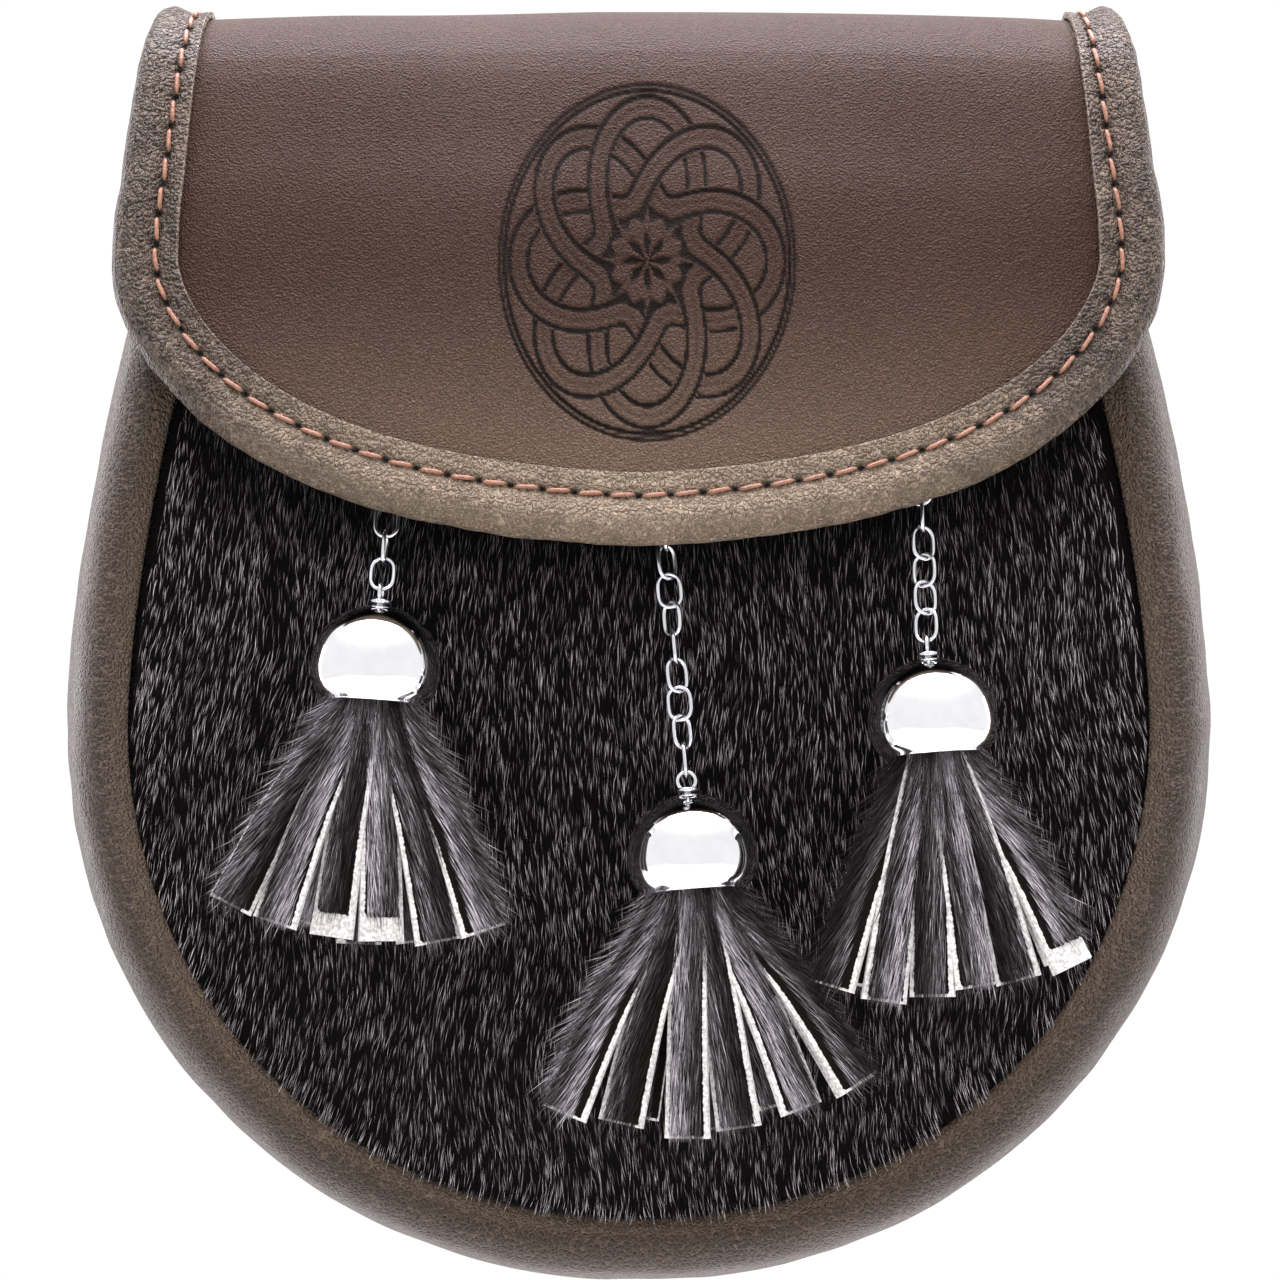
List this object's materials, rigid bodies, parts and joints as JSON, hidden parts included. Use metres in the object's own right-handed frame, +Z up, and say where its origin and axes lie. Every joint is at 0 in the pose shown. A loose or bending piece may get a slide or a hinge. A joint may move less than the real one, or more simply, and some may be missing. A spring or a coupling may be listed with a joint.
{
  "type": "sporran pouch",
  "caption": "Belt-hung oval leather pouch with a furry hide front, a bound fold-over flap and hide tassels hanging on chains from metal caps.",
  "frame": {"origin": "middle of the strap passage on the back of the pouch", "axes": "+Z up as worn, +Y out of the back towards the wearer so the front faces -Y, +X to the right seen from the front"},
  "size_m": [0.1796, 0.0733, 0.201],
  "materials": {
    "flap_leather": "satin dark brown grain leather",
    "binding_leather": "soft olive brown crackled leather",
    "body_leather": "fine pebbled dark brown leather",
    "fur": "near-black hide with the hair on",
    "tassel_hide": "strips of dark haired hide with pale cut edges",
    "cap_chrome": "mirror chrome",
    "chain_steel": "bright plated steel wire"
  },
  "bodies": {
    "root": {"back_panel": "body_leather", "chain_left_link_1": "chain_steel", "chain_left_link_2": "chain_steel", "chain_left_link_3": "chain_steel", "chain_left_link_4": "chain_steel", "chain_left_link_5": "chain_steel", "chain_middle_link_1": "chain_steel", "chain_middle_link_10": "chain_steel", "chain_middle_link_2": "chain_steel", "chain_middle_link_3": "chain_steel", "chain_middle_link_4": "chain_steel", "chain_middle_link_5": "chain_steel", "chain_middle_link_6": "chain_steel", "chain_middle_link_7": "chain_steel", "chain_middle_link_8": "chain_steel", "chain_middle_link_9": "chain_steel", "chain_right_link_1": "chain_steel", "chain_right_link_2": "chain_steel", "chain_right_link_3": "chain_steel", "chain_right_link_4": "chain_steel", "chain_right_link_5": "chain_steel", "chain_right_link_6": "chain_steel", "chain_right_link_7": "chain_steel", "chain_staple_left": "chain_steel", "chain_staple_middle": "chain_steel", "chain_staple_right": "chain_steel", "flap": "flap_leather", "flap_binding": "binding_leather", "flap_stud": "chain_steel", "front_panel": "fur", "gusset": "body_leather", "strap_loop": "body_leather", "tassel_cap_left": "cap_chrome", "tassel_cap_middle": "cap_chrome", "tassel_cap_right": "cap_chrome", "tassel_eye_left": "chain_steel", "tassel_eye_middle": "chain_steel", "tassel_eye_right": "chain_steel", "tassel_fringe_left": "tassel_hide", "tassel_fringe_middle": "tassel_hide", "tassel_fringe_right": "tassel_hide"}
  },
  "joints": []
}
